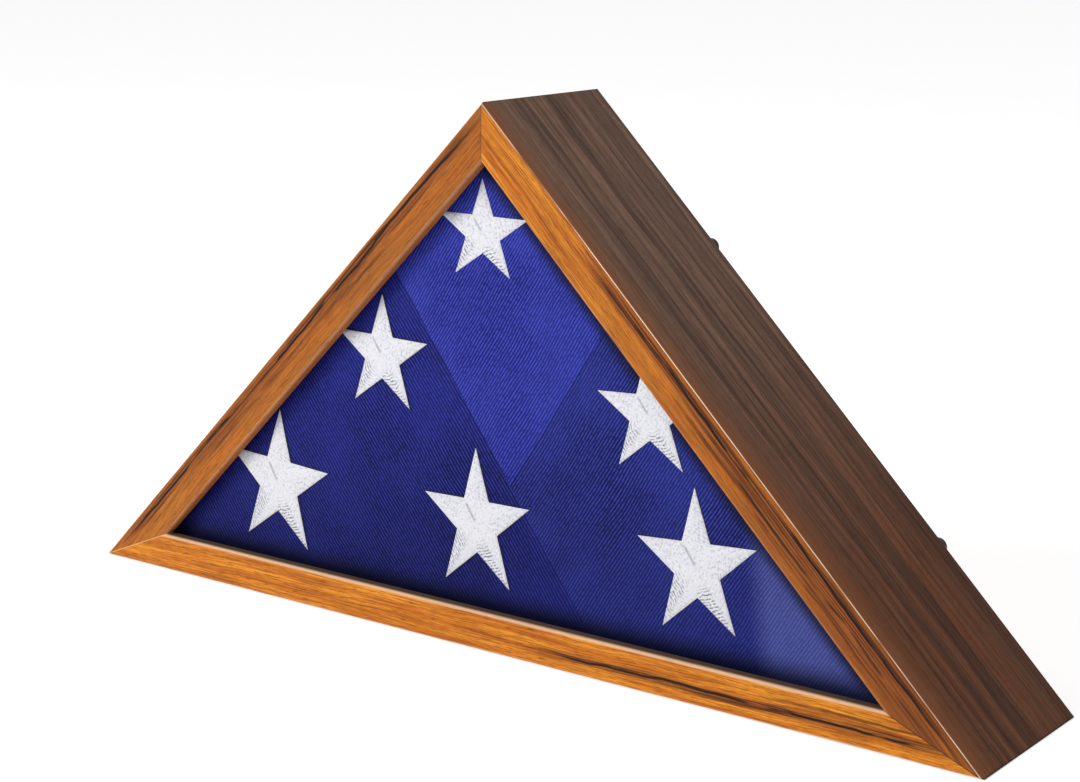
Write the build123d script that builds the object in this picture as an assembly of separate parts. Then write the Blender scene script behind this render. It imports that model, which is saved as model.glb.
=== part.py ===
from build123d import *
import math
import os

# A display case for a flag folded into a triangle.
# It is a shadow box in the shape of a right-angled triangle that stands on its long side.
# Three foil-wrapped rails are mitred and joined with V-nails. Each has a wall and a front lip.
# A pane of glass lies behind the lips, and three liner boards hold it there.
# The back panel rests on the liners' far edges, and six turn buttons keep it in.
# A sawtooth hanger is screwed across the apex, and the folded flag lies inside.
#
# Millimetres. +X runs along the long side, +Z is up, and the glass faces -Y.
# The origin is the centre of the underside.

# The box
base_length = 400.0      # outer long side
leg_angle = 45.0         # between the long side and each leg: a folded flag's corner
case_depth = 70.0        # front of the lips to back of the walls

# The rails
wall_thickness = 8.0
lip_width = 15.0         # from the outer face to the lip's inner edge
lip_thickness = 4.0
arris_radius = 1.5       # both edges of the lip's front
back_arris_radius = 0.4

# The glass, the liners and the back panel
glass_thickness = 2.0
glass_clearance = 1.0    # glass edge to wall
liner_thickness = 4.0
panel_thickness = 3.0
panel_clearance = 0.5    # panel edge to wall
panel_recess = 0.2       # panel's back below the back of the walls
sheet_corner_radius = 1.0

# The folded flag
flag_clearance = 0.3     # flag edge to each leg's liner
flag_rest_gap = 0.3      # flag to the liner that it rests on
flag_glass_gap = 0.5
flag_panel_gap = 8.2
flag_corner_radius = 3.0
flag_edge_radius = 1.5

# The screws
screw_head_radius = 2.1
screw_head_rim = 0.5
screw_head_height = 1.5
screw_shank_radius = 1.2
screw_root_radius = 0.9
screw_thread_pitch = 0.9
screw_point_length = 2.0
screw_fit = 0.05         # shank to the bore it passes through
pilot_clearance = 0.02   # thread to its pilot hole
pilot_overrun = 0.5
recess_arm = 1.25        # half the width of the cross recess
recess_slot = 0.5
recess_depth = 0.8
button_screw_length = 12.0
hanger_screw_length = 8.0

# The turn buttons
button_boss_radius = 3.3
button_boss_height = 3.4
button_reach = 15.0      # pivot to the centre of the tip
button_root_radius = 2.5
button_tip_radius = 1.7
button_root_height = 2.5
button_tip_height = 1.5
button_round = 0.35
button_lift = 0.1        # underside above the back of the walls
button_head_gap = 0.08   # under the screw head
counterbore_depth = 0.7
counterbore_clearance = 0.25
leg_button_inset = 73.5  # pivot to the nearer end of its leg
base_button_inset = 100.0
# The turn of each button from square to its rail, counter-clockwise as seen from the back
button_turns = {
    "right_upper": -10.0,
    "right_lower": 7.0,
    "left_upper": 6.0,
    "left_lower": -4.0,
    "base_left": 5.0,
    "base_right": -7.0,
}

# The sawtooth hanger
hanger_length = 38.0
hanger_height = 7.0
hanger_thickness = 0.8
hanger_tab_length = 6.4
hanger_ramp_length = 4.6
hanger_rise = 2.2
hanger_bend_radius = 1.2
hanger_hole_inset = 2.5  # hole centre to the end of the tab
hanger_edge_inset = 4.6  # hole centre to the outer face of the rail
hanger_corner_radius = 0.5
tooth_pitch = 3.2
tooth_count = 5
tooth_height = 2.1

# The V-nails
nail_half_width = 2.4
nail_gauge = 0.5
nail_height = 10.0
nail_angle = 55.0        # between each wing and the mitre
nail_sunk = 1.5
base_corner_nail_places = (0.42, 0.72)   # shares of the mitre across the wall
apex_nail_places = (0.5,)

# Derived sizes
leg_slope = math.radians(leg_angle)
apex_height = base_length / 2 * math.tan(leg_slope)
leg_length = base_length / 2 / math.cos(leg_slope)
front_y = -case_depth / 2
back_y = case_depth / 2
glass_front_y = front_y + lip_thickness
glass_back_y = glass_front_y + glass_thickness
panel_back_y = back_y - panel_recess
panel_front_y = panel_back_y - panel_thickness
liner_face = wall_thickness + liner_thickness
depth_axis = Vector(0, 1, 0)


def triangle(inset):
    """Left, right and top corners of the outer triangle moved in by inset on every side."""
    half = base_length / 2 - inset / math.tan(leg_slope / 2)
    top = apex_height - inset / math.cos(leg_slope)
    return [Vector(-half, 0, inset), Vector(half, 0, inset), Vector(0, 0, top)]


def prism(corners, y_from, y_to):
    """A solid with these corners in XZ, between two depths."""
    face = make_face(Polyline(*[Vector(p.X, y_from, p.Z) for p in corners], close=True))
    return extrude(face, amount=y_to - y_from, dir=depth_axis)


def round_corners(solid, radius):
    """The solid with its edges along the depth rounded."""
    return fillet(solid.edges().filter_by(Axis.Y), radius)


# Every mitre plane passes through the centre of the triangle's inscribed circle.
left_corner, right_corner, apex = triangle(0)
inradius = base_length / 2 * math.tan(leg_slope / 2)
incentre = Vector(0, 0, inradius)
rail_ends = {
    "base": (left_corner, right_corner),
    "left": (left_corner, apex),
    "right": (right_corner, apex),
}
inward = {
    "base": Vector(0, 0, 1),
    "left": Vector(math.sin(leg_slope), 0, -math.cos(leg_slope)),
    "right": Vector(-math.sin(leg_slope), 0, -math.cos(leg_slope)),
}


def mitred(profile, side):
    """The profile, drawn as inward distance by depth, run along one side and mitred at both ends."""
    start, end = rail_ends[side]
    across = inward[side]
    plane = Plane(origin=(start + end) / 2, x_dir=across, z_dir=across.cross(depth_axis))
    bar = extrude(plane * profile, amount=base_length, both=True)
    wedge = [incentre, incentre + (start - incentre) * 2, incentre + (end - incentre) * 2]
    return bar & prism(wedge, front_y * 2, back_y * 2)


def strip_profile(near, far, y_from, y_to):
    """A rectangle from near to far in from the outer face, between two depths."""
    return Pos((near + far) / 2, (y_from + y_to) / 2) * Rectangle(far - near, y_to - y_from)


def rail_profile():
    """The rail's section: a wall with a lip at the front, its showing edges rounded."""
    wall = strip_profile(0, wall_thickness, front_y, back_y)
    lip = strip_profile(0, lip_width, front_y, glass_front_y)
    section = wall + lip
    section = fillet(section.vertices().group_by(Axis.Y)[0], arris_radius)
    outer_back_corner = section.vertices().group_by(Axis.Y)[-1].sort_by(Axis.X)[0]
    return fillet(outer_back_corner, back_arris_radius)


def v_nail(corner, half_angle, place):
    """A bent steel wedge across a mitre, at a share of the mitre's way through the wall."""
    along = (incentre - corner).normalized()
    across = along.cross(depth_axis)
    bend = corner + along * (place * wall_thickness / math.sin(half_angle))
    back_off = nail_half_width / math.tan(math.radians(nail_angle))
    thick = nail_gauge / math.sin(math.radians(nail_angle))
    outline = [
        bend,
        bend + across * nail_half_width - along * back_off,
        bend + across * nail_half_width - along * (back_off - thick),
        bend + along * thick,
        bend - across * nail_half_width - along * (back_off - thick),
        bend - across * nail_half_width - along * back_off,
    ]
    end = back_y - nail_sunk
    return prism(outline, end - nail_height, end)


def v_nails():
    """Every V-nail, by name."""
    apex_half_angle = math.pi / 2 - leg_slope
    corners = {
        "left_corner": (left_corner, leg_slope / 2, base_corner_nail_places),
        "right_corner": (right_corner, leg_slope / 2, base_corner_nail_places),
        "apex": (apex, apex_half_angle, apex_nail_places),
    }
    nails = {}
    for name, (corner, half_angle, places) in corners.items():
        for number, place in enumerate(places, start=1):
            nails[f"{name}_v_nail_{number}"] = v_nail(corner, half_angle, place)
    return nails


def screw(length):
    """A pan-head wood screw pointing to -Y, with the underside of its head at the origin."""
    body = length - screw_point_length
    turns = int((body - screw_thread_pitch) / screw_thread_pitch)
    crown = screw_head_height
    rim = (screw_head_radius, screw_head_rim)
    dome_centre = (crown**2 - screw_head_rim**2 - screw_head_radius**2) / (2 * (crown - screw_head_rim))
    dome_radius = crown - dome_centre
    half_turn = math.asin(screw_head_radius / dome_radius) / 2
    shoulder = (dome_radius * math.sin(half_turn), dome_centre + dome_radius * math.cos(half_turn))
    outline = [
        Line((0, crown), (0, -length)),
        Line((0, -length), (screw_root_radius, -body)),
    ]
    here = (screw_root_radius, -body)
    for turn in range(turns):
        crest = (screw_shank_radius, here[1] + screw_thread_pitch / 2)
        root = (screw_root_radius, here[1] + screw_thread_pitch)
        outline += [Line(here, crest), Line(crest, root)]
        here = root
    neck = (screw_shank_radius, here[1] + screw_thread_pitch / 2)
    outline += [
        Line(here, neck),
        Line(neck, (screw_shank_radius, 0)),
        Line((screw_shank_radius, 0), (screw_head_radius, 0)),
        Line((screw_head_radius, 0), rim),
        ThreePointArc(rim, shoulder, (0, crown)),
    ]
    solid = revolve(make_face(outline), axis=Axis.Y)
    for arm in (Box(recess_arm * 2, recess_depth, recess_slot), Box(recess_slot, recess_depth, recess_arm * 2)):
        solid -= Pos(0, crown - recess_depth / 2, 0) * arm
    return solid


def pilot_hole(length):
    """The drilled hole that a screw of this length goes into, from the origin to -Y."""
    depth = length + pilot_overrun
    hole = Cylinder(screw_shank_radius + pilot_clearance, depth)
    return Rot(90, 0, 0) * Pos(0, 0, depth / 2) * hole


def turn_button():
    """A tapered button with its blade along +X, its pivot at the origin and its underside at Y = 0."""
    sketch_plane = Plane(origin=(0, 0, 0), x_dir=(1, 0, 0), z_dir=(0, 1, 0))
    root, tip = Circle(button_root_radius), Pos(button_reach, 0) * Circle(button_tip_radius)
    outline = make_hull(root.edges() + tip.edges())
    blade = extrude(sketch_plane * outline, amount=button_root_height)
    far = button_reach + button_tip_radius
    above = [
        Vector(button_boss_radius, 0, 0) + depth_axis * button_root_height,
        Vector(far, 0, 0) + depth_axis * button_tip_height,
        Vector(far, 0, 0) + depth_axis * button_boss_height,
        Vector(button_boss_radius, 0, 0) + depth_axis * button_boss_height,
    ]
    wide = button_boss_radius * 2
    slope = make_face(Polyline(*[p - Vector(0, 0, wide / 2) for p in above], close=True))
    blade -= extrude(slope, amount=wide, dir=(0, 0, 1))
    boss = extrude(sketch_plane * Circle(button_boss_radius), amount=button_boss_height)
    boss = fillet(boss.edges().sort_by(Axis.Y)[-1], button_round)
    tip_edges = blade.edges().filter_by(lambda e: e.center().Y > button_tip_height * 0.9)
    blade = fillet(tip_edges.filter_by(lambda e: e.center().X > button_boss_radius), button_round)
    counterbore = Circle(screw_head_radius + counterbore_clearance)
    floor = button_boss_height - counterbore_depth
    solid = blade + boss
    solid -= extrude(Pos(0, floor, 0) * (sketch_plane * counterbore), amount=counterbore_depth)
    solid -= extrude(sketch_plane * Circle(screw_shank_radius + screw_fit), amount=button_boss_height)
    return solid


def button_places():
    """Each button's pivot on the back of the walls, and the angle of its blade about +Y."""
    centre_line = wall_thickness / 2
    places = {}
    for name, turn in button_turns.items():
        side = name.split("_")[0]
        start, end = rail_ends[side]
        along = (end - start).normalized()
        if side == "base":
            from_start = base_button_inset if name.endswith("left") else base_length - base_button_inset
        else:
            from_start = leg_button_inset if name.endswith("lower") else leg_length - leg_button_inset
        across = inward[side]
        pivot = start + along * from_start + across * centre_line + depth_axis * back_y
        square_on = math.degrees(math.atan2(-across.Z, across.X))
        places[name] = (pivot, square_on + turn)
    return places


def hanger():
    """The sawtooth hanger, flat against Y = 0, centred on the origin and as long as hanger_length in X."""
    half = hanger_length / 2
    bridge_half = half - hanger_tab_length - hanger_ramp_length
    low = hanger_thickness / 2
    high = low + hanger_rise
    path = FilletPolyline(
        (-half, low),
        (-half + hanger_tab_length, low),
        (-bridge_half, high),
        (bridge_half, high),
        (half - hanger_tab_length, low),
        (half, low),
        radius=hanger_bend_radius,
    )
    strip = extrude(trace(path, line_width=hanger_thickness), amount=hanger_height / 2, both=True)
    strip = strip.solid()
    ends = strip.edges().filter_by(Axis.Y).filter_by(lambda e: abs(abs(e.center().X) - half) < 1e-3)
    strip = fillet(ends, hanger_corner_radius)
    bottom = -hanger_height / 2
    for number in range(tooth_count):
        middle = (number - (tooth_count - 1) / 2) * tooth_pitch
        notch = [
            Vector(middle - tooth_pitch / 2, 0, bottom),
            Vector(middle + tooth_pitch / 2, 0, bottom),
            Vector(middle, 0, bottom + tooth_height),
        ]
        strip -= prism(notch, 0, high + hanger_thickness)
    for side in (-1, 1):
        hole = Rot(90, 0, 0) * Cylinder(screw_shank_radius + screw_fit, hanger_thickness * 4)
        strip -= Pos(side * (half - hanger_hole_inset), 0, 0) * hole
    return strip


def hanger_place():
    """The middle of the hanger, and the two places that its screws go, on the back of the walls."""
    reach = hanger_length / 2 - hanger_hole_inset
    height = triangle(hanger_edge_inset)[2].Z - reach * math.tan(leg_slope)
    middle = Vector(0, back_y, height)
    return middle, {"left": middle - Vector(reach, 0, 0), "right": middle + Vector(reach, 0, 0)}


def folded_flag():
    """The folded flag as a plain rounded block, resting on the base liner."""
    leg_gap = liner_face + flag_clearance
    rest = liner_face + flag_rest_gap
    corners = triangle(leg_gap)
    half = corners[1].X + (leg_gap - rest) / math.tan(leg_slope)
    outline = [Vector(-half, 0, rest), Vector(half, 0, rest), corners[2]]
    block = prism(outline, glass_back_y + flag_glass_gap, panel_front_y - flag_panel_gap)
    block = round_corners(block, flag_corner_radius)
    rims = block.faces().sort_by(Axis.Y)[0].edges() + block.faces().sort_by(Axis.Y)[-1].edges()
    return fillet(rims, flag_edge_radius)


def build():
    """Every sub-part in place, by node name."""
    parts = {}
    nails = v_nails()
    buttons = button_places()
    hanger_middle, hanger_screws = hanger_place()
    section = rail_profile()
    liner_section = strip_profile(wall_thickness, liner_face, glass_back_y, panel_front_y)
    for side in rail_ends:
        rail = mitred(section, side)
        for nail in nails.values():
            rail -= nail
        for name, (pivot, _) in buttons.items():
            if name.startswith(side):
                rail -= Pos(*pivot) * pilot_hole(button_screw_length)
        if side in hanger_screws:
            rail -= Pos(*hanger_screws[side]) * pilot_hole(hanger_screw_length)
        parts[f"{side}_rail"] = rail
        parts[f"{side}_liner"] = mitred(liner_section, side)
    parts.update(nails)

    glass = prism(triangle(wall_thickness + glass_clearance), glass_front_y, glass_back_y)
    parts["glass_pane"] = round_corners(glass, sheet_corner_radius)
    panel = prism(triangle(wall_thickness + panel_clearance), panel_front_y, panel_back_y)
    parts["back_panel"] = round_corners(panel, sheet_corner_radius)
    parts["folded_flag"] = folded_flag()

    button = turn_button()
    head_seat = button_lift + button_boss_height - counterbore_depth + button_head_gap
    button_screw = screw(button_screw_length + head_seat)
    for name, (pivot, angle) in buttons.items():
        parts[f"{name}_turn_button"] = Pos(*pivot) * Pos(0, button_lift, 0) * Rot(0, angle, 0) * button
        parts[f"{name}_button_screw"] = Pos(*pivot) * Pos(0, head_seat, 0) * button_screw

    parts["sawtooth_hanger"] = Pos(*hanger_middle) * hanger()
    hanger_screw = screw(hanger_screw_length + hanger_thickness)
    for side, place in hanger_screws.items():
        parts[f"{side}_hanger_screw"] = Pos(*place) * Pos(0, hanger_thickness, 0) * hanger_screw
    return parts


def pivot_report(places):
    """Prints each pivot in metres, for the joints."""
    for name, (pivot, angle) in places.items():
        print(f"{name} pivot_m [{pivot.X / 1000:.6f}, {pivot.Y / 1000:.6f}, {pivot.Z / 1000:.6f}] blade {angle:.1f}")


os.makedirs("parts", exist_ok=True)
for node, shape in build().items():
    export_step(shape, f"parts/{node}.step")
pivot_report(button_places())
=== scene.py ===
import math

import bmesh
import bpy
from mathutils import Matrix, Vector, noise


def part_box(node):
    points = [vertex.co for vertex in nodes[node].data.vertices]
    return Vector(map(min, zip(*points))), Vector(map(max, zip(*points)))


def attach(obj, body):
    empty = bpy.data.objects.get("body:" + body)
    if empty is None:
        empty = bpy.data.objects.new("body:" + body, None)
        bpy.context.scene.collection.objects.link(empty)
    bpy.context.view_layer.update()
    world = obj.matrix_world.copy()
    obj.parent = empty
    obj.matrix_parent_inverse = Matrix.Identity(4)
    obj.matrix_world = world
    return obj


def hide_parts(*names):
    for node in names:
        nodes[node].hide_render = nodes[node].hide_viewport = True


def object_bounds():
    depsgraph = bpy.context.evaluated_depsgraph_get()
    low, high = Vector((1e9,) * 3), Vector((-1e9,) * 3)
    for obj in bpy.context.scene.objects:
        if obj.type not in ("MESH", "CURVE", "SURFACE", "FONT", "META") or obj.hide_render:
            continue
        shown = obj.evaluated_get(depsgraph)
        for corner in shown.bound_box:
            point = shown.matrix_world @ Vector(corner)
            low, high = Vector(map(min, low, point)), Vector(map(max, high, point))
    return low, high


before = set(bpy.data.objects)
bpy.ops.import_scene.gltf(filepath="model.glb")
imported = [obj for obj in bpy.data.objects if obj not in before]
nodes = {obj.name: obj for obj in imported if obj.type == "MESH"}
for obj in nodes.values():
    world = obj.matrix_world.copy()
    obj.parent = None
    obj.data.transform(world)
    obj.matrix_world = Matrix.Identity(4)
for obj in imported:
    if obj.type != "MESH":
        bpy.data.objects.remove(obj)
cad_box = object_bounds()

# ---- Studio ----
# The box stands on a plain pale table, in soft light from a large lamp in front and to the left.
# A small lamp picks out the rails' front edges. The camera looks at the glazed front from the
# right and a little above.

MM = 0.001
front_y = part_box("base_rail")[0][1]
back_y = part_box("base_rail")[1][1]

camera_azimuth = math.radians(36.74)
camera_height_angle = math.radians(12.69)
camera_roll = math.radians(0.27)
camera_place = (0.4773, front_y - 0.6044, 0.2710)
camera_data = bpy.data.cameras.new("studio_camera")
camera_data.lens = 73.85
camera_data.sensor_width = 36.0
camera_data.clip_start = 0.05
camera = bpy.data.objects.new("studio_camera", camera_data)
bpy.context.collection.objects.link(camera)
camera_turn = (
    Matrix.Rotation(camera_azimuth, 4, "Z")
    @ Matrix.Rotation(math.pi / 2 - camera_height_angle, 4, "X")
    @ Matrix.Rotation(camera_roll, 4, "Z")
)
camera.matrix_world = Matrix.Translation(camera_place) @ camera_turn
bpy.context.scene.camera = camera
bpy.context.scene.view_settings.view_transform = "Standard"


class Value:
    """One socket of a node tree. Python's operators on it add Math nodes."""

    def __init__(self, tree, socket):
        self.tree = tree
        self.socket = socket

    def node(self, kind, sockets, output=0, **settings):
        """A node of this kind with these settings, its sockets set or linked; gives one output."""
        made = self.tree.nodes.new("ShaderNode" + kind)
        for name, setting in settings.items():
            setattr(made, name, setting)
        for name, value in sockets.items():
            if isinstance(value, Value):
                self.tree.links.new(value.socket, made.inputs[name])
            else:
                made.inputs[name].default_value = value
        return Value(self.tree, made.outputs[output])

    def math(self, operation, *others):
        return self.node("Math", dict(enumerate((self, *others))), operation=operation)

    def __add__(self, other):
        return self.math("ADD", other)

    def __sub__(self, other):
        return self.math("SUBTRACT", other)

    def __mul__(self, other):
        return self.math("MULTIPLY", other)

    def __truediv__(self, other):
        return self.math("DIVIDE", other)

    def __rsub__(self, other):
        return (self * -1.0) + other

    __radd__ = __add__
    __rmul__ = __mul__

    def step(self, low, high):
        """0 below low and 1 above high, smooth between them."""
        sockets = {"Value": self, "From Min": low, "From Max": high}
        return self.node("MapRange", sockets, interpolation_type="SMOOTHSTEP")

    def mix(self, first, second):
        """The first colour where this is 0 and the second where it is 1."""
        return self.node("Mix", {0: self, 6: first, 7: second}, output=2, data_type="RGBA")

    def bump(self, distance):
        """This height as a Normal, distance in metres."""
        return self.node("Bump", {"Height": self, "Distance": distance, "Strength": 1.0})

    def part(self, number):
        """The X, Y or Z of this vector, by number."""
        return self.node("SeparateXYZ", {0: self}, output=number)

    def along(self, direction):
        """How far this vector reaches in a direction."""
        return self.node("VectorMath", {0: self, 1: direction}, output=1, operation="DOT_PRODUCT")

    def away_from(self, point):
        """This vector less a point in millimetres."""
        return self.node("VectorMath", {0: self, 1: point}, operation="SUBTRACT")

    def noise(self, scale, detail, **sockets):
        """Soft noise over this vector, 0 to 1."""
        return self.node("TexNoise", {"Vector": self, "Scale": scale, "Detail": detail, **sockets})

    def size(self):
        """This number without its sign."""
        return self.math("ABSOLUTE")

    def wave(self, pitch):
        """A wave with this pitch along this distance, 0 to 1."""
        return (self * (2 * math.pi / pitch)).math("SINE") * 0.5 + 0.5


def srgb(red, green, blue):
    """A colour from its eight-bit display values."""
    linear = [((c / 255 + 0.055) / 1.055) ** 2.4 if c > 10 else c / 3294 for c in (red, green, blue)]
    return (*linear, 1.0)


def material(name, **constants):
    """A new material: its shader, and a Value of the Object coordinates in millimetres."""
    made = bpy.data.materials.new(name)
    made.use_nodes = True
    tree = made.node_tree
    shader = tree.nodes["Principled BSDF"]
    for socket, constant in constants.items():
        shader.inputs[socket.replace("_", " ")].default_value = constant
    coordinates = Value(tree, tree.nodes.new("ShaderNodeTexCoord").outputs["Object"])
    place = coordinates.node("VectorMath", {0: coordinates, "Scale": 1000.0}, operation="SCALE")
    return made, shader, place


def feed(shader, socket, value):
    """Links a Value to one socket of a shader."""
    value.tree.links.new(value.socket, shader.inputs[socket])


def dress(name, look):
    """Gives a CAD node this material."""
    for slot in nodes[name].material_slots:
        slot.material = look


table_reach = 6.0
table_gap = 0.3 * MM
table_mesh = bmesh.new()
bmesh.ops.create_grid(table_mesh, x_segments=1, y_segments=1, size=table_reach)
bmesh.ops.translate(table_mesh, verts=table_mesh.verts, vec=(0, 0, cad_box[0][2] - table_gap))
table_data = bpy.data.meshes.new("pale_table")
table_mesh.to_mesh(table_data)
table_mesh.free()
table = bpy.data.objects.new("pale_table", table_data)
bpy.context.collection.objects.link(table)
table_look, table_shader, place = material(
    "pale_table", Roughness=0.9, Specular_IOR_Level=0.1,
    Emission_Color=(1.0, 1.0, 1.0, 1.0), Emission_Strength=0.5,
)
mottle = place.noise(0.02, 2.0)
feed(table_shader, "Base Color", mottle.mix(srgb(240, 240, 240), srgb(246, 246, 246)))
table_data.materials.append(table_look)

world = bpy.data.worlds.new("studio")
world.use_nodes = True
bpy.context.scene.world = world
sky_tree = world.node_tree
sky = sky_tree.nodes["Background"]
seen_directly = Value(sky_tree, sky_tree.nodes.new("ShaderNodeLightPath").outputs["Is Camera Ray"])
sky.inputs["Color"].default_value = (1.0, 1.0, 1.0, 1.0)
feed(sky, "Strength", seen_directly * 0.5 + 0.5)


def lamp(name, position, target, width, height, power):
    """A soft rectangular lamp aimed at a point."""
    data = bpy.data.lights.new(name, "AREA")
    data.shape = "RECTANGLE"
    data.size = width
    data.size_y = height
    data.energy = power
    made = bpy.data.objects.new(name, data)
    bpy.context.collection.objects.link(made)
    aim = (Vector(target) - Vector(position)).to_track_quat("-Z", "Y")
    made.matrix_world = Matrix.Translation(position) @ aim.to_matrix().to_4x4()


lamp("key_lamp", (-0.9, -1.5, 0.95), (0, 0, 0.08), width=1.0, height=0.8, power=26.0)
lamp("arris_lamp", (0.60, -0.88, 1.15), (0.06, 0, 0.12), width=0.10, height=0.35, power=1.6)

# ---- Rails ----
# Three lengths of fibreboard moulding, a wall with a lip at the front, mitred and glued.
# A satin printed foil with a walnut figure is wrapped round each one along its length.
# The foil is warm and open-grained over the lip and the back edge. Over the outer side it is dark,
# partly its own darker figure and partly painted shade, and a painted reflection greys it further along
# each rail.

left_corner = Vector((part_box("base_rail")[0][0], 0, 0))
right_corner = Vector((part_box("base_rail")[1][0], 0, 0))
apex = Vector((0, 0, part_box("left_rail")[1][2]))
half_length = right_corner.x
leg_slope = math.atan2(apex.z, half_length)
incentre = Vector((0, 0, half_length * math.tan(leg_slope / 2)))
depth_mm = (back_y - front_y) / MM
lip_edge = 14.9  # from the outer face to where the foil turns in under the lip
every_depth = 900.0  # noise as broad as this doesn't change across a rail
corner_seams = {
    left_corner.x: srgb(206, 158, 106),
    right_corner.x: srgb(44, 25, 14),
    apex.x: srgb(96, 56, 26),
}


def walnut_foil(name, start, end, inward, seed, streaks, smoky, sight_edge_highlight, lining):
    """The foil on one rail. Each streak is (from, to, outer edge, inner edge, strength): the
    stretch of the rail that it darkens and its places in from the outer face, in millimetres.
    Smoky says how brown the warm part is at the rail's two ends, and the next argument how strong a
    painted highlight along its sight edge is, from 0 to 1. Lining is the colour painted where the foil
    turns in under
    the lip: painted shade on the base and right rails, and a lit warm tone on the left."""
    look, shader, place = material(name, Specular_IOR_Level=0.12, Coat_Roughness=0.12)
    from_start = place.away_from(start / MM)
    length = from_start.along((end - start).normalized())
    inset = from_start.along(inward)
    depth = place.part(1) - front_y / MM
    around = inset - depth
    rail_length = (end - start).length / MM

    def grain(length_scale, around_scale, offset, detail=2.0, wander=0.0):
        """Noise drawn out along the rail, 0 to 1."""
        across = around / around_scale + wander + seed + offset
        drawn = place.node("CombineXYZ", {0: length / length_scale, 1: across, 2: seed * 3.7 + offset})
        return drawn.noise(1.0, detail, Roughness=0.6)

    sway = grain(55.0, 26.0, 11.0, 1.0) * 1.6
    figure = grain(60.0, 2.2, 0.0, 3.0, sway)
    band = grain(260.0, 6.0, 5.0, 2.5, sway * 0.5)
    ribbon = grain(230.0, 2.4, 16.0, 3.0, sway * 0.6)
    thread = grain(26.0, 0.50, 2.0, 2.0, sway * 4.0)
    pore = grain(5.0, 0.22, 7.0, 1.0, sway * 8.0).step(0.54, 0.66)
    line = grain(70.0, 1.1, 9.0, 2.0, sway * 1.5).step(0.60, 0.70)
    hair = grain(90.0, 0.62, 14.0, 3.0, sway * 1.6).step(0.49, 0.56)

    # The warm part, over the lip and the back edge
    warm = figure.step(0.30, 0.70).mix(srgb(176, 94, 20), srgb(216, 138, 38))
    warm = (band.step(0.48, 0.70) * 0.50).mix(warm, srgb(150, 76, 20))
    warm = (thread.step(0.46, 0.64) * 0.60).mix(warm, srgb(118, 58, 14))
    warm = (line * 0.45).mix(warm, srgb(78, 38, 12))
    warm = (pore * 0.60).mix(warm, srgb(80, 38, 10))
    browner = length / rail_length * (smoky[1] - smoky[0]) + smoky[0]
    warm = (figure.step(0.25, 0.60) * browner).mix(warm, srgb(116, 62, 26))

    # The dark part, over the outer side: partly the foil's darker figure and partly painted shade,
    # greyed by a painted reflection further along the rail, with a warm ragged edge next to the lip
    low_part = ribbon.step(0.28, 0.68).mix(srgb(66, 39, 26), srgb(122, 71, 44))
    # Painted reflection: the side's greyer colour further along the rail
    painted_sheen_part = ribbon.step(0.28, 0.68).mix(srgb(98, 75, 63), srgb(144, 110, 92))
    dark = length.step(50.0, 230.0).mix(low_part, painted_sheen_part)
    dark = (figure.step(0.45, 0.68) * 0.45).mix(dark, srgb(104, 84, 60))
    dark = (thread.step(0.46, 0.68) * 0.45).mix(dark, srgb(50, 34, 27))
    dark = (line * 0.45).mix(dark, srgb(30, 20, 17))
    dark = (pore * 0.35).mix(dark, srgb(28, 19, 16))
    dark = (band.step(0.52, 0.66) * 0.30).mix(dark, srgb(46, 34, 28))
    ragged = depth + (ribbon - 0.5) * 26.0
    dark = ((1.0 - ragged.step(-2.0, 14.0)) * 0.70).mix(dark, srgb(142, 84, 48))
    outer_side = depth.step(0.15, 0.8) * (1.0 - depth.step(depth_mm - 0.5, depth_mm - 0.1))
    colour = outer_side.mix(warm, dark)

    # Black streaks along the lip's front, each with one dark vein down its middle
    on_front = 1.0 - depth.step(0.4, 1.2)
    fade = 30.0
    for first, last, outer, inner, strength in streaks:
        reach = length.step(first, first + fade) * (1.0 - length.step(last - fade, last))
        spread = (inner - outer) / 2
        from_middle = inset - (inner + outer) / 2
        wander = (grain(48.0, every_depth, first, 2.0) - 0.5) * 4.0
        near = 1.0 - (from_middle + wander).size().step(spread * 0.6, spread * 1.3)
        shown = near * reach * on_front
        colour = (shown * 0.60 * strength).mix(colour, srgb(112, 54, 22))
        colour = (shown * hair * strength * 0.8).mix(colour, srgb(30, 15, 9))
        bend = (grain(38.0, every_depth, last, 3.0) - 0.5) * 5.0
        vein = 1.0 - (from_middle + bend).size().step(0.25, 0.75)
        vein = vein * grain(30.0, every_depth, first + 5.0, 2.0).step(0.36, 0.50) * reach * on_front
        colour = (vein * strength).mix(colour, srgb(20, 10, 7))

    # The lining under the lip, painted dark as shade on the base and right rails; the mitres' seams;
    # and painted highlights on the sight edge and along the front arris
    turned_in = inset.step(lip_edge - 0.3, lip_edge) * depth.step(0.3, 0.8)
    colour = turned_in.mix(colour, lining)
    for corner in (start, end):
        joint = (incentre - corner).normalized()
        gap = place.away_from(corner / MM).along(Vector((joint.z, 0, -joint.x)))
        seam = 1.0 - gap.size().step(0.08, 0.32)
        colour = (seam * 0.7).mix(colour, corner_seams[corner.x])
    # Painted highlight: a pale line along the sight edge, brightest on the upward-facing base rail
    edge = 1.0 - (inset - (lip_edge - 0.6)).size().step(0.1, 0.9)
    colour = (edge * sight_edge_highlight).mix(colour, srgb(214, 180, 146))
    # Painted highlight: a broken pale line along the front arris; its coat weight is real gloss
    arris = 1.0 - around.size().step(0.08, 0.34)
    arris_highlight = arris * grain(40.0, every_depth, 21.0, 3.0).step(0.30, 0.52)
    colour = (arris_highlight * 0.85).mix(colour, srgb(248, 224, 198))

    feed(shader, "Coat Weight", arris * 0.6)
    feed(shader, "Base Color", colour)
    feed(shader, "Roughness", 0.36 + thread * 0.12 + pore * 0.2 + outer_side * 0.10)
    relief = (1.0 - pore) * 0.7 + thread * 0.3
    feed(shader, "Normal", relief.bump(0.03 * MM))
    return look


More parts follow.
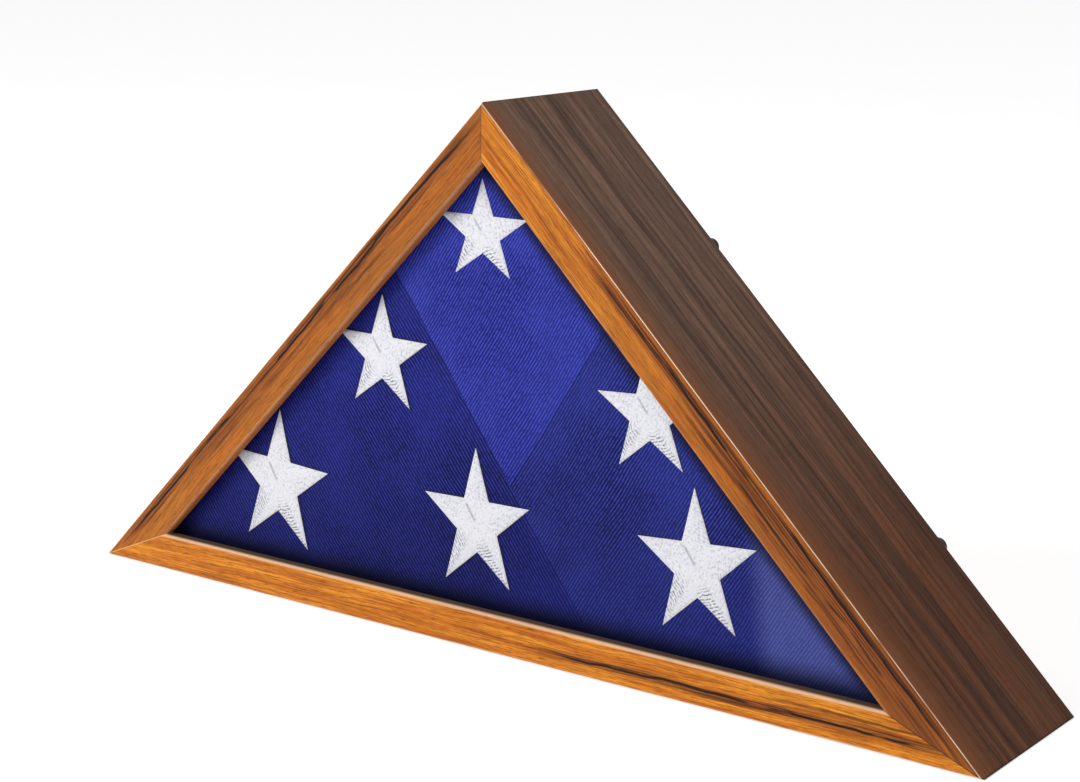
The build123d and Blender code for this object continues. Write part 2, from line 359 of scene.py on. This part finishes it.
leg_in_left = Vector((math.sin(leg_slope), 0, -math.cos(leg_slope)))
leg_in_right = Vector((-math.sin(leg_slope), 0, -math.cos(leg_slope)))
# Each rail's last two arguments set its painted light: a highlight on the sight edge, and the lining,
# painted as shade on the base and right rails
base_foil = walnut_foil(
    "walnut_foil_base", left_corner, right_corner, Vector((0, 0, 1)), seed=3.0,
    streaks=[(215.0, 400.0, 4.5, 8.0, 0.95), (310.0, 400.0, 9.0, 11.0, 0.5)],
    smoky=(0.0, 0.0), sight_edge_highlight=0.7, lining=srgb(40, 25, 16),
)
left_foil = walnut_foil(
    "walnut_foil_left", left_corner, apex, leg_in_left, seed=8.0,
    streaks=[(5.0, 285.0, 1.4, 5.2, 0.95), (60.0, 225.0, 5.6, 8.4, 0.4)],
    smoky=(0.50, 0.80), sight_edge_highlight=0.15, lining=srgb(150, 84, 34),
)
right_foil = walnut_foil(
    "walnut_foil_right", right_corner, apex, leg_in_right, seed=15.0,
    streaks=[(0.0, 225.0, 1.0, 5.5, 0.95), (5.0, 165.0, 5.0, 9.5, 0.75), (20.0, 130.0, 9.0, 12.5, 0.4)],
    smoky=(1.0, 0.0), sight_edge_highlight=0.1, lining=srgb(40, 25, 16),
)
dress("base_rail", base_foil)
dress("left_rail", left_foil)
dress("right_rail", right_foil)

# ---- V-nails ----
# Bent strips of bright steel, driven into the mitres from the back before the foil's edge was
# filled over them. They hold each corner while its glue sets, and stay out of sight.

nail_look, nail_shader, place = material("bright_steel", Metallic=1.0)
drawn = place.node("Mapping", {"Vector": place, "Scale": (6.0, 0.4, 6.0)})
scratch = drawn.noise(1.0, 4.0)
feed(nail_shader, "Base Color", scratch.mix(srgb(150, 150, 152), srgb(205, 205, 208)))
feed(nail_shader, "Roughness", 0.25 + scratch * 0.25)
for name in nodes:
    if "v_nail" in name:
        dress(name, nail_look)

# ---- Liner boards ----
# Strips of fibreboard, stained dark and glued inside the walls. Their front edges hold the glass
# against the lips, and the back panel rests on their back edges.

liner_look, liner_shader, place = material("stained_fibreboard", Specular_IOR_Level=0.3)
fuzz = place.noise(2.2, 5.0, Roughness=0.7)
patch = place.noise(0.06, 2.0)
liner_colour = patch.step(0.35, 0.65).mix(srgb(46, 30, 20), srgb(66, 43, 28))
feed(liner_shader, "Base Color", (fuzz.step(0.52, 0.75) * 0.5).mix(liner_colour, srgb(92, 64, 42)))
feed(liner_shader, "Roughness", 0.7 + fuzz * 0.2)
feed(liner_shader, "Normal", fuzz.bump(0.06 * MM))
for side in ("base", "left", "right"):
    dress(side + "_liner", liner_look)

# ---- Glass ----
# One pane of clear float glass, 2 mm thick, its edges out of sight behind the lips.
# It lets nearly all the light through, and mirrors the room only where it is seen at a slant.

glass_look, glass_shader, place = material("clear_glass")
glass_tree = glass_look.node_tree
smear = place.noise(0.03, 3.0)
clear = place.node("BsdfTransparent", {"Color": (0.985, 0.988, 0.985, 1.0)})
gloss = place.node("BsdfGlossy", {"Color": (1.0, 1.0, 1.0, 1.0), "Roughness": 0.03})
backfacing = 6
front_side = 1.0 - place.node("NewGeometry", {}, output=backfacing)
glint = place.node("Fresnel", {"IOR": 1.45}).step(0.09, 0.80) * front_side * (0.5 + smear * 0.2)
pane = place.node("MixShader", {0: glint, 1: clear, 2: gloss})
glass_tree.links.new(pane.socket, glass_tree.nodes["Material Output"].inputs["Surface"])
dress("glass_pane", glass_look)

# ---- Folded flag ----
# A nylon flag folded lengthwise and then corner over corner into a thick triangular packet.
# It is swollen by a cloth simulation, then fills the room that the box leaves it.
# Its face lies against the glass, and shows the blue field.

flag_low, flag_high = (Vector(corner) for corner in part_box("folded_flag"))
tuck_ends = 2.0 * MM
tuck_edges = 0.6 * MM
tuck_faces = 0.75 * MM
packet_start = flag_low.y + tuck_faces
packet_depth = flag_high.y - flag_low.y - 2 * tuck_faces
flag_mesh = bmesh.new()
flag_face = flag_mesh.faces.new([
    flag_mesh.verts.new((flag_low.x + tuck_ends, packet_start, flag_low.z + tuck_edges)),
    flag_mesh.verts.new((flag_high.x - tuck_ends, packet_start, flag_low.z + tuck_edges)),
    flag_mesh.verts.new((0, packet_start, flag_high.z - tuck_edges)),
])
swept = bmesh.ops.extrude_face_region(flag_mesh, geom=[flag_face])
swept_verts = [part for part in swept["geom"] if isinstance(part, bmesh.types.BMVert)]
bmesh.ops.translate(flag_mesh, verts=swept_verts, vec=(0, packet_depth, 0))
bmesh.ops.bevel(
    flag_mesh, geom=list(flag_mesh.edges), offset=1.6 * MM, segments=2, profile=0.5,
    affect="EDGES", material=-1,
)
bmesh.ops.recalc_face_normals(flag_mesh, faces=flag_mesh.faces)
flag_data = bpy.data.meshes.new("flag_packet")
flag_mesh.to_mesh(flag_data)
flag_mesh.free()
flag = bpy.data.objects.new("flag_packet", flag_data)
bpy.context.collection.objects.link(flag)


def bake_modifiers(piece):
    """Makes a piece's modifiers part of its mesh."""
    depsgraph = bpy.context.evaluated_depsgraph_get()
    baked = bpy.data.meshes.new_from_object(piece.evaluated_get(depsgraph))
    piece.modifiers.clear()
    piece.data = baked


remesh = flag.modifiers.new("voxels", "REMESH")
remesh.mode = "VOXEL"
remesh.voxel_size = 4.0 * MM
bake_modifiers(flag)
cloth_steps = 20
most_swell = 3.0 * MM
before = [vertex.co.copy() for vertex in flag.data.vertices]
cloth = flag.modifiers.new("swell", "CLOTH")
cloth.settings.use_pressure = True
cloth.settings.uniform_pressure_force = 4.0
cloth.settings.effector_weights.gravity = 0.0
for moment in range(1, cloth_steps + 1):
    bpy.context.scene.frame_set(moment)
bake_modifiers(flag)
bpy.context.scene.frame_set(1)
for vertex, start in zip(flag.data.vertices, before):
    moved = vertex.co - start
    if moved.length > most_swell:
        vertex.co = start + moved.normalized() * most_swell
smooth = flag.modifiers.new("finer", "SUBSURF")
smooth.levels = 1
smooth.render_levels = 1
bake_modifiers(flag)


def slack(x, z):
    """How far the cloth's face hangs back from the glass at a place, in metres."""
    broad, small = 0.034, 0.015
    ripple = noise.noise(Vector((x / broad, 0.0, z / broad)))
    ripple += 0.5 * noise.noise(Vector((x / small, 5.0, z / small)))
    return 0.22 * MM * max(0.0, 1.0 + ripple)


# The packet has filled out to the liner boards, and its face is pressed flat by the glass.
pressed_band = 12.0 * MM
face_behind_layers = 1.05 * MM  # from the flag's front to the packet's own face
outward = [Vector((0, 0, -1)), -leg_in_left, -leg_in_right]
wall_gap = [
    -flag_low.z,
    left_corner.dot(-leg_in_left) - flag_low.z,
    right_corner.dot(-leg_in_right) - flag_low.z,
]
for direction, limit in zip(outward, wall_gap):
    furthest = max(vertex.co.dot(direction) for vertex in flag.data.vertices)
    for vertex in flag.data.vertices:
        nearness = (vertex.co.dot(direction) - furthest) / pressed_band + 1.0
        if nearness > 0:
            vertex.co += direction * ((limit - furthest) * min(1.0, nearness * 2.0))
deep = max(vertex.co.y for vertex in flag.data.vertices)
near = min(vertex.co.y for vertex in flag.data.vertices)
packet_face = flag_low.y + face_behind_layers
for vertex in flag.data.vertices:
    share = (vertex.co.y - near) / (deep - near)
    vertex.co.y = packet_face + share * (flag_high.y - packet_face)
    vertex.co.y = max(vertex.co.y, packet_face + slack(vertex.co.x, vertex.co.z))


def nylon(name, lean, pitch, ground, ridge):
    """Blue nylon, its twill lines at this angle in degrees up from the long side and this far
    apart in millimetres."""
    look, shader, place = material(
        name, Sheen_Weight=0.03, Sheen_Roughness=0.4, Specular_IOR_Level=0.10,
    )
    east = place.part(0)
    up = place.part(2)
    turn = math.radians(lean)
    over = up * math.cos(turn) - east * math.sin(turn) + place.noise(0.03, 2.0) * 3.0
    run = up * math.sin(turn) + east * math.cos(turn)
    twill = over.wave(pitch)
    rows = place.noise(0.10, 2.0).step(0.3, 0.7)
    picks = place.node("CombineXYZ", {0: over / 0.9, 1: run / 1.6, 2: turn})
    picks = picks.noise(1.0, 1.0).step(0.34, 0.58)
    weave = twill.step(0.25, 0.95) * (0.30 + picks * 0.55 + rows * 0.15)
    blue = weave.mix(ground, ridge)

    # Paler clouds, a deeper blue low down, a painted reflection of the glass as a light patch at the
    # right, and painted shade along the bottom and right edges where the cloth rolls back under the
    # lips
    cloud = place.noise(0.022, 2.0).step(0.38, 0.64)
    blue = (cloud * 0.20).mix(blue, ridge)
    blue = ((1.0 - up.step(20.0, 95.0)) * 0.35).mix(blue, ground)
    # Painted reflection: a paler grey-blue patch at the right, the glass's sheen
    painted_glass_reflection = (east + up * 0.12).step(112.0, 123.0)
    blue = (painted_glass_reflection * (0.35 + weave * 0.35)).mix(blue, srgb(84, 92, 160))
    # Painted shade along the bottom and the right leg, where the cloth rolls back under the lips
    from_right_leg = place.away_from(right_corner / MM).along(leg_in_right)
    painted_edge_shade = 1.0 - up.step(14.0, 24.0) * from_right_leg.step(18.8, 24.5)
    blue = (painted_edge_shade * 0.85).mix(blue, srgb(3, 4, 22))
    feed(shader, "Base Color", blue)
    feed(shader, "Roughness", 0.66 - twill * 0.12)
    feed(shader, "Normal", twill.bump(0.05 * MM))
    return look


flag.data.materials.clear()
# One nylon in three painted tones of light and shade: the under layer darkest, the last fold lightest
for look in (
    nylon("blue_nylon_under", -52.0, 1.35, srgb(0, 1, 46), srgb(40, 48, 150)),
    nylon("blue_nylon_outer", 57.0, 1.15, srgb(1, 3, 56), srgb(52, 62, 160)),
    nylon("blue_nylon_last", 57.0, 1.15, srgb(8, 12, 84), srgb(62, 72, 184)),
):
    flag.data.materials.append(look)

# The outermost turns of the folding lie over the packet's face, each one layer of the nylon.
# Their straight folded edges cross the blue field and meet below its middle.
# Corners are (X, Z) in millimetres.
hem_edge = 12.6
hem_half = half_length / MM - hem_edge / math.tan(leg_slope / 2)
hem_left = (-hem_half, hem_edge)
hem_right = (hem_half, hem_edge)
hem_top = (0.0, apex.z / MM - hem_edge / math.cos(leg_slope))
fold_top = (-46.2, 136.8)
fold_foot = (44.0, hem_edge)
fold_meet = (7.9, 62.3)
fold_right = (54.5, 132.5)
cloth_grid = 5.0 * MM
flag_mesh = bmesh.new()
flag_mesh.from_mesh(flag.data)


def lay_fold(outline, back_from_glass, thickness, number):
    """One layer of cloth on the packet. Number picks its material from the flag's list."""
    front = flag_low.y + back_from_glass * MM
    layer = bmesh.new()
    layer.faces.new([layer.verts.new((x * MM, front, z * MM)) for x, z in outline])
    for axis in (0, 2):
        turned = Vector()
        turned[axis] = 1.0
        line = flag_low[axis] + cloth_grid
        while line < flag_high[axis]:
            everything = layer.verts[:] + layer.edges[:] + layer.faces[:]
            bmesh.ops.bisect_plane(layer, geom=everything, plane_co=turned * line, plane_no=turned)
            line += cloth_grid
    bmesh.ops.dissolve_degenerate(layer, dist=0.4 * MM, edges=layer.edges[:])
    grown = bmesh.ops.extrude_face_region(layer, geom=layer.faces[:])
    back = [part for part in grown["geom"] if isinstance(part, bmesh.types.BMVert)]
    bmesh.ops.translate(layer, verts=back, vec=(0, thickness * MM, 0))
    bmesh.ops.recalc_face_normals(layer, faces=layer.faces)
    crisp = [edge for edge in layer.edges if edge.is_manifold and edge.calc_face_angle() > 1.0]
    bmesh.ops.bevel(
        layer, geom=crisp, offset=0.1 * MM, segments=2, profile=0.5, affect="EDGES", material=-1,
        clamp_overlap=True,
    )
    for vertex in layer.verts:
        vertex.co.y += slack(vertex.co.x, vertex.co.z)
    for face in layer.faces:
        face.material_index = number
    spare = bpy.data.meshes.new("one_layer")
    layer.to_mesh(spare)
    layer.free()
    flag_mesh.from_mesh(spare)
    bpy.data.meshes.remove(spare)


lay_fold([hem_left, hem_right, hem_top], back_from_glass=0.66, thickness=0.35, number=0)
lay_fold([fold_top, fold_foot, hem_right, hem_top], back_from_glass=0.38, thickness=0.30, number=1)
lay_fold([fold_top, fold_meet, fold_right, hem_top], back_from_glass=0.14, thickness=0.26, number=2)
flag_mesh.to_mesh(flag.data)
flag_mesh.free()
flag.data.shade_smooth()
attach(flag, "box")
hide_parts("folded_flag")

# ---- Stars ----
# White five-pointed stars embroidered on the blue field, in rows of one, two and three.
# Each arm is filled with satin stitches laid across it, so it stands a little proud.

# Each star: its middle's X and Z, the radius of its tips across and upwards, all in millimetres,
# and its tilt in degrees.
stars = [
    (-4.7, 153.3, 21.0, 19.3, 0.0),
    (-52.3, 102.9, 22.8, 23.2, -1.0),
    (67.5, 97.1, 22.4, 22.8, 3.0),
    (-106.5, 44.9, 27.0, 29.8, -3.0),
    (-7.6, 45.6, 25.4, 28.4, 1.0),
    (88.0, 47.0, 25.2, 27.9, 3.5),
]
star_rise = 0.40 * MM
star_off_cloth = 0.12 * MM
notch_share = 0.385  # the radius of its notches, as a share of its tips'
edge_roll = 0.07  # how far in from its edge the star rises, as a share of its tips' radius
skirt_drop = 1.8  # how far its rim goes down into the cloth, in star_rises
skirt_flare = 1.035
# The rim's skirt is painted dark, as a shadow round the star.
rim_shadow_mark = 99.0  # the second stitch coordinate of the dark rim
spoke = 2 * math.pi / 5
tip = Vector((1.0, 0.0, 0.0))
notch = Vector((math.cos(spoke / 2), math.sin(spoke / 2), 0.0)) * notch_share
arm_side = (notch - tip).normalized()
star_mesh = bmesh.new()
star_mesh.loops.layers.uv.new("stitches")
star_mesh.loops.layers.uv.new("whole_star")
for star_x, star_z, wide, tall, tilt in stars:
    one = bmesh.new()
    one_uv = one.loops.layers.uv.new("stitches")
    whole_uv = one.loops.layers.uv.new("whole_star")
    bmesh.ops.create_circle(one, cap_ends=True, cap_tris=True, segments=10, radius=1.0)
    rim = [vertex for vertex in one.verts if vertex.co.length > 0.5]
    rim.sort(key=lambda vertex: math.atan2(vertex.co.y, vertex.co.x))
    top = rim.index(max(rim, key=lambda vertex: vertex.co.y))
    for number, vertex in enumerate(rim):
        if (number - top) % 2:
            vertex.co *= notch_share
    bmesh.ops.subdivide_edges(one, edges=one.edges, cuts=9, use_grid_fill=True)
    for face in one.faces:
        middle = face.calc_center_median()
        arm = round((math.atan2(middle.y, middle.x) - math.pi / 2) / spoke)
        arm_turn = math.pi / 2 + arm * spoke
        aim = Vector((math.cos(arm_turn), math.sin(arm_turn), 0))
        for loop in face.loops:
            co = loop.vert.co
            stitch = Vector((co.dot(aim) + arm * 3.0, co.dot(aim.cross(Vector((0, 0, 1))))))
            loop[one_uv].uv = stitch * tall
            loop[whole_uv].uv = (co.x, co.y)
    for vertex in one.verts:
        angle = math.atan2(vertex.co.y, vertex.co.x) - math.pi / 2
        from_arm = abs((angle + spoke / 2) % spoke - spoke / 2)
        point = Vector((math.cos(from_arm), math.sin(from_arm), 0.0)) * vertex.co.length
        inside = abs((point - tip).cross(arm_side).z)
        vertex.co.z = 1.0 - math.exp(-inside / edge_roll)
    turned = Matrix.Rotation(math.radians(tilt), 4, "Z")
    bmesh.ops.transform(one, matrix=turned, verts=one.verts)
    boundary = [edge for edge in one.edges if edge.is_boundary]
    skirt = bmesh.ops.extrude_edge_only(one, edges=boundary)
    skirt_verts = [part for part in skirt["geom"] if isinstance(part, bmesh.types.BMVert)]
    bmesh.ops.translate(one, verts=skirt_verts, vec=(0, 0, -skirt_drop))
    bmesh.ops.scale(one, verts=skirt_verts, vec=(skirt_flare, skirt_flare, 1.0))
    for part in skirt["geom"]:
        if isinstance(part, bmesh.types.BMFace):
            for loop in part.loops:
                loop[one_uv].uv = (0.0, rim_shadow_mark)
    for vertex in one.verts:
        flat = vertex.co.copy()
        vertex.co = Vector((star_x + flat.x * wide, 0, star_z + flat.y * tall)) * MM
        lie = slack(vertex.co.x, vertex.co.z)
        vertex.co.y = flag_low.y + star_off_cloth - flat.z * star_rise + lie
    spare = bpy.data.meshes.new("one_star")
    one.to_mesh(spare)
    one.free()
    star_mesh.from_mesh(spare)
    bpy.data.meshes.remove(spare)
for face in star_mesh.faces:
    face.smooth = True
star_data = bpy.data.meshes.new("embroidered_stars")
star_mesh.to_mesh(star_data)
star_mesh.free()
star_piece = bpy.data.objects.new("embroidered_stars", star_data)
bpy.context.collection.objects.link(star_piece)

star_look, star_shader, place = material(
    "white_satin_stitch", Sheen_Weight=0.1, Sheen_Roughness=0.3, Specular_IOR_Level=0.35,
)
stitch_uv = place.node("UVMap", {}, uv_map="stitches")
stitch_along = stitch_uv.part(0)
stitch_across = stitch_uv.part(1)
jitter = stitch_uv.noise(0.35, 2.0)
stipple = stitch_uv.noise(0.9, 2.0, Roughness=0.7)
thread_line = (stitch_along + stitch_across.size() * 0.35 + jitter * 2.0).wave(1.3)
whole = place.node("UVMap", {}, uv_map="whole_star")
star_east = whole.part(0)
star_up = whole.part(1)
from_centre = (star_east * star_east + star_up * star_up).math("SQRT")

# The lines between stitches and the stipple's dimples are painted shade, strongest on the lower arms
# and on the half of each arm that lies in shade.
lower_arms = 1.0 - star_up.step(-0.30, 0.05)
shaded_half = 0.20 + stitch_across.step(-1.5, 1.0) * 0.80
clear_lines = (0.25 + lower_arms * 0.75) * from_centre.step(0.15, 0.42) * shaded_half
broken_line = thread_line.step(0.45, 0.95) * stipple.step(0.38, 0.55) * clear_lines
ridge_line = 1.0 - stitch_across.size().step(0.1, 0.7)

# One crease runs from the middle to the notch at the upper left, painted as a dark line of shade.
crease_turn = math.radians(126.0)
off_crease = (star_east * math.sin(crease_turn) - star_up * math.cos(crease_turn)).size()
up_crease = star_east * math.cos(crease_turn) + star_up * math.sin(crease_turn)
crease = (1.0 - off_crease.step(0.008, 0.03)) * up_crease.step(0.02, 0.06)
crease = crease * (1.0 - up_crease.step(0.28, 0.34))

white = (broken_line * 0.9).mix(srgb(213, 212, 218), srgb(100, 102, 122))
dimples = stipple.step(0.54, 0.64) * (1.0 - lower_arms * 0.6)
white = (dimples * 0.55).mix(white, srgb(146, 148, 164))
white = (ridge_line * 0.12).mix(white, srgb(160, 162, 176))
white = (crease * 0.50).mix(white, srgb(110, 112, 128))
# Painted shadow: the skirt round each star's rim is near-black navy
white = stitch_across.step(60.0, 70.0).mix(white, srgb(10, 11, 40))
stitch_relief = 1.0 - broken_line * 0.7 - stipple.step(0.45, 0.62) * 0.4
feed(star_shader, "Base Color", white)
feed(star_shader, "Roughness", 0.5 + stipple * 0.2)
feed(star_shader, "Normal", stitch_relief.bump(0.3 * MM))
star_data.materials.append(star_look)
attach(star_piece, "box")

# ---- Back panel ----
# A sheet of fibreboard faced with a printed beech foil, its figure running slantwise.
# It lies loose on the liner boards, almost flush with the walls' back.

panel_look, panel_shader, place = material("beech_foil", Specular_IOR_Level=0.35)
grain_turn = {"Vector": place, "Angle": math.radians(47.0)}
turned_place = place.node("VectorRotate", grain_turn, rotation_type="Y_AXIS")
run = turned_place.part(0)
over = turned_place.part(2)


def beech(length_scale, over_scale, offset, detail=2.0):
    """Noise drawn out along the beech's grain, 0 to 1."""
    drawn = place.node("CombineXYZ", {0: run / length_scale, 1: over / over_scale, 2: offset})
    return drawn.noise(1.0, detail, Roughness=0.55)


cloud = beech(120.0, 16.0, 1.0)
vein = (over + beech(170.0, 45.0, 4.0, 1.0) * 34.0).wave(7.0)
fleck = beech(2.6, 0.42, 8.0, 1.0).step(0.57, 0.67)
beech_colour = cloud.step(0.3, 0.7).mix(srgb(244, 227, 196), srgb(234, 213, 178))
beech_colour = (vein * 0.16).mix(beech_colour, srgb(214, 184, 142))
beech_colour = (fleck * 0.55).mix(beech_colour, srgb(166, 132, 94))
feed(panel_shader, "Base Color", beech_colour)
feed(panel_shader, "Roughness", 0.5 + cloud * 0.12)
feed(panel_shader, "Normal", (1.0 - fleck).bump(0.02 * MM))
dress("back_panel", panel_look)

# ---- Turn buttons ----
# Glossy black mouldings with a round boss and a tapered blade that laps over the back panel.
# Each turns on its own screw.

button_look, button_shader, place = material(
    "gloss_black_moulding", Coat_Weight=0.25, Coat_Roughness=0.08, Specular_IOR_Level=0.3,
)
skin = place.noise(1.4, 3.0)
rub = place.noise(0.35, 4.0).step(0.55, 0.75)
feed(button_shader, "Base Color", (rub * 0.4).mix(srgb(6, 6, 7), srgb(26, 26, 28)))
feed(button_shader, "Roughness", 0.22 + rub * 0.2 + skin * 0.08)
feed(button_shader, "Normal", skin.bump(0.02 * MM))
for name in nodes:
    if name.endswith("turn_button"):
        dress(name, button_look)

# ---- Hanger ----
# Stamped steel strip with a satin black finish: flat ends on the rails, and a raised bridge
# whose lower edge is cut into teeth for the nail.

hanger_look, hanger_shader, place = material("satin_black_steel", Metallic=0.6)
orange_peel = place.noise(3.0, 2.0)
scuff = place.noise(0.5, 5.0, Roughness=0.7).step(0.58, 0.7)
feed(hanger_shader, "Base Color", (scuff * 0.5).mix(srgb(16, 16, 18), srgb(52, 52, 56)))
feed(hanger_shader, "Roughness", 0.34 + scuff * 0.15)
feed(hanger_shader, "Normal", orange_peel.bump(0.015 * MM))
dress("sawtooth_hanger", hanger_look)

# ---- Screws ----
# Small pan-head wood screws with a cross recess, in black zinc.
# Six hold the buttons and two hold the hanger.

screw_look, screw_shader, place = material("black_zinc", Metallic=0.8)
turned_marks = place.noise(4.0, 3.0)
feed(screw_shader, "Base Color", turned_marks.step(0.4, 0.7).mix(srgb(20, 20, 22), srgb(58, 58, 62)))
feed(screw_shader, "Roughness", 0.28 + turned_marks * 0.2)
for name in nodes:
    if name.endswith("screw"):
        dress(name, screw_look)
